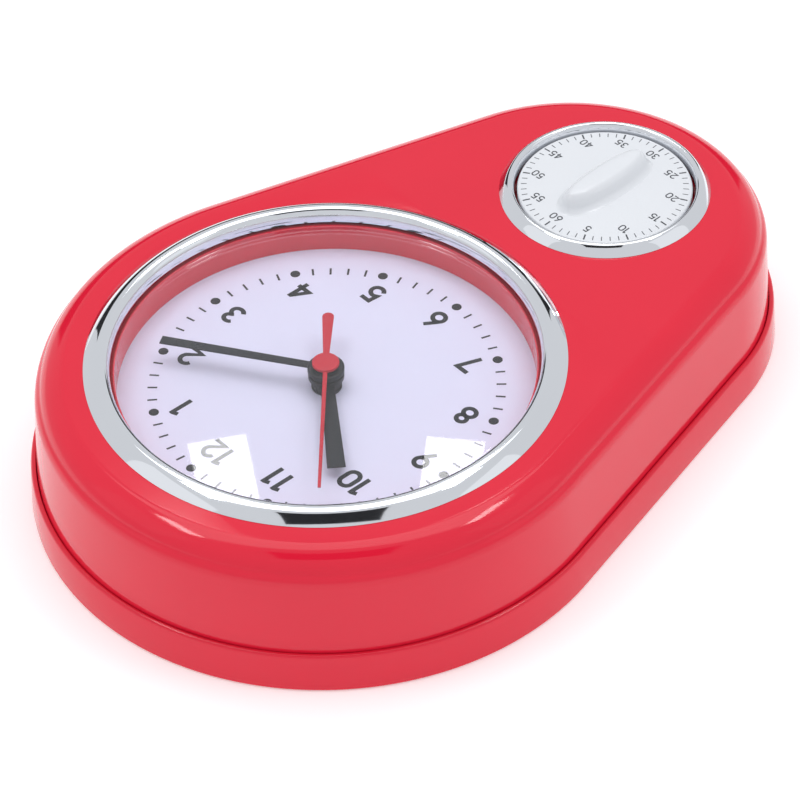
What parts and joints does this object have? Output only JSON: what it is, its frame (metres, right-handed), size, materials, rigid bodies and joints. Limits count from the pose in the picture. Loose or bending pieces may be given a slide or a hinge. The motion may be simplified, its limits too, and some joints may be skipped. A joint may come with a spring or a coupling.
{
  "type": "kitchen wall clock with timer",
  "caption": "Retro kitchen wall clock: rounded housing in back cover, chrome bezels, quartz movement behind a printed dial, and a wind-up timer knob below.",
  "frame": {"origin": "Middle of the outline's width and length, on the back plane.", "axes": "+Z out of the dial, +Y to twelve o'clock, +X to three o'clock; the clock lies on its back."},
  "size_m": [0.1744, 0.245, 0.0525],
  "materials": {
    "red_plastic": "glossy red ABS",
    "chrome": "polished chrome plating",
    "clear_lens": "clear flat lens",
    "dial_white": "satin white printed dial",
    "hand_black": "satin dark grey enamel",
    "hand_red": "satin red enamel",
    "movement_black": "moulded black ABS",
    "brass": "turned brass",
    "steel": "zinc-plated steel",
    "rubber": "soft rubber",
    "gear_plastic": "natural acetal",
    "circuit_green": "solder-masked board",
    "copper": "enamelled copper wire",
    "spring_steel": "blued spring steel",
    "battery_wrap": "plain printed sleeve",
    "knob_white": "glossy white ABS"
  },
  "bodies": {
    "housing": {"front_housing": "red_plastic", "back_cover": "red_plastic", "housing_screws": "steel", "hanger_plate": "steel", "hanger_rivets": "steel", "clock_bezel": "chrome", "timer_bezel": "chrome", "lens": "clear_lens", "dial_plate": "dial_white", "dial_screws": "steel", "mounting_nut": "hand_black", "nut_washer": "brass", "rubber_cushion": "rubber", "centre_bushing": "brass", "movement_case": "movement_black", "movement_lid": "movement_black", "train_bridge": "gear_plastic", "circuit_board": "circuit_green", "clock_chip": "movement_black", "quartz_crystal": "steel", "stator": "steel", "coil_bobbin": "gear_plastic", "coil_winding": "copper", "battery": "battery_wrap", "positive_contact": "steel", "negative_contact": "steel", "mainspring": "spring_steel", "timer_front_plate": "steel", "timer_rear_plate": "steel", "timer_pillars": "brass", "timer_screws": "steel", "bell": "brass", "bell_screw": "steel"},
    "minute": {"minute_hand": "hand_black", "cannon_pinion": "brass", "centre_wheel": "gear_plastic"},
    "hour": {"hour_hand": "hand_black", "hour_wheel": "gear_plastic"},
    "second": {"second_hand": "hand_red", "second_wheel": "gear_plastic"},
    "third": {"third_wheel": "gear_plastic"},
    "intermediate": {"intermediate_wheel": "gear_plastic"},
    "rotor_body": {"rotor": "steel"},
    "motion": {"minute_wheel": "gear_plastic"},
    "setting": {"setting_knob": "knob_white"},
    "timer": {"timer_knob": "knob_white", "timer_shaft": "steel", "timer_main_wheel": "brass", "trip_cam": "steel"},
    "timer_second": {"timer_second_wheel": "brass"},
    "timer_third": {"timer_third_wheel": "brass"},
    "timer_escape": {"escape_wheel": "brass"},
    "timer_balance": {"balance": "steel"},
    "striker": {"hammer": "steel"}
  },
  "joints": [
    {"name": "minute_hand_turn", "type": "hinge", "parent": "housing", "child": "minute", "pos_m": [0, 0.0353, 0.039], "axis": [0, 0, -1], "continuous": true},
    {"name": "hour_hand_turn", "type": "hinge", "parent": "housing", "child": "hour", "pos_m": [0, 0.0353, 0.037], "axis": [0, 0, -1], "continuous": true},
    {"name": "second_hand_turn", "type": "hinge", "parent": "housing", "child": "second", "pos_m": [0, 0.0353, 0.041], "axis": [0, 0, -1], "continuous": true},
    {"name": "third_wheel_turn", "type": "hinge", "parent": "housing", "child": "third", "pos_m": [0.00306, 0.0406, 0.0225], "axis": [0, 0, -1], "continuous": true},
    {"name": "intermediate_wheel_turn", "type": "hinge", "parent": "housing", "child": "intermediate", "pos_m": [-0.00609, 0.03693, 0.019], "axis": [0, 0, -1], "continuous": true},
    {"name": "rotor_turn", "type": "hinge", "parent": "housing", "child": "rotor_body", "pos_m": [-0.00969, 0.03562, 0.021], "axis": [0, 0, -1], "continuous": true},
    {"name": "minute_wheel_turn", "type": "hinge", "parent": "housing", "child": "motion", "pos_m": [-0.00606, 0.0388, 0.0274], "axis": [0, 0, -1], "continuous": true},
    {"name": "setting_knob_turn", "type": "hinge", "parent": "housing", "child": "setting", "pos_m": [-0.01212, 0.0423, 0.013], "axis": [0, 0, -1], "continuous": true},
    {"name": "timer_knob_turn", "type": "hinge", "parent": "housing", "child": "timer", "pos_m": [0, -0.0742, 0.046], "axis": [0, 0, -1], "range_deg": [0, 354]},
    {"name": "timer_second_wheel_turn", "type": "hinge", "parent": "housing", "child": "timer_second", "pos_m": [0.00875, -0.05904, 0.03], "axis": [0, 0, -1], "range_deg": [-2124, 0]},
    {"name": "timer_third_wheel_turn", "type": "hinge", "parent": "housing", "child": "timer_third", "pos_m": [-0.00095, -0.05344, 0.0275], "axis": [0, 0, -1], "range_deg": [0, 12744]},
    {"name": "escape_wheel_turn", "type": "hinge", "parent": "housing", "child": "timer_escape", "pos_m": [-0.00901, -0.05638, 0.024], "axis": [0, 0, -1], "range_deg": [-76464, 0]},
    {"name": "balance_swing", "type": "hinge", "parent": "housing", "child": "timer_balance", "pos_m": [-0.01577, -0.05884, 0.025], "axis": [0, 0, -1], "range_deg": [-7, 7]},
    {"name": "hammer_swing", "type": "hinge", "parent": "housing", "child": "striker", "pos_m": [-0.017, -0.0762, 0.018], "axis": [0, 0, -1], "range_deg": [-5, 4]}
  ],
  "couplings": [
    {"joint": "hour_hand_turn", "follows": "minute_hand_turn", "ratio": 0.083333},
    {"joint": "minute_wheel_turn", "follows": "minute_hand_turn", "ratio": -0.33333},
    {"joint": "setting_knob_turn", "follows": "minute_hand_turn", "ratio": 1},
    {"joint": "third_wheel_turn", "follows": "minute_hand_turn", "ratio": -8},
    {"joint": "second_hand_turn", "follows": "minute_hand_turn", "ratio": 60},
    {"joint": "intermediate_wheel_turn", "follows": "minute_hand_turn", "ratio": -360},
    {"joint": "rotor_turn", "follows": "minute_hand_turn", "ratio": 1800},
    {"joint": "timer_second_wheel_turn", "follows": "timer_knob_turn", "ratio": -6},
    {"joint": "timer_third_wheel_turn", "follows": "timer_knob_turn", "ratio": 36},
    {"joint": "escape_wheel_turn", "follows": "timer_knob_turn", "ratio": -216}
  ]
}
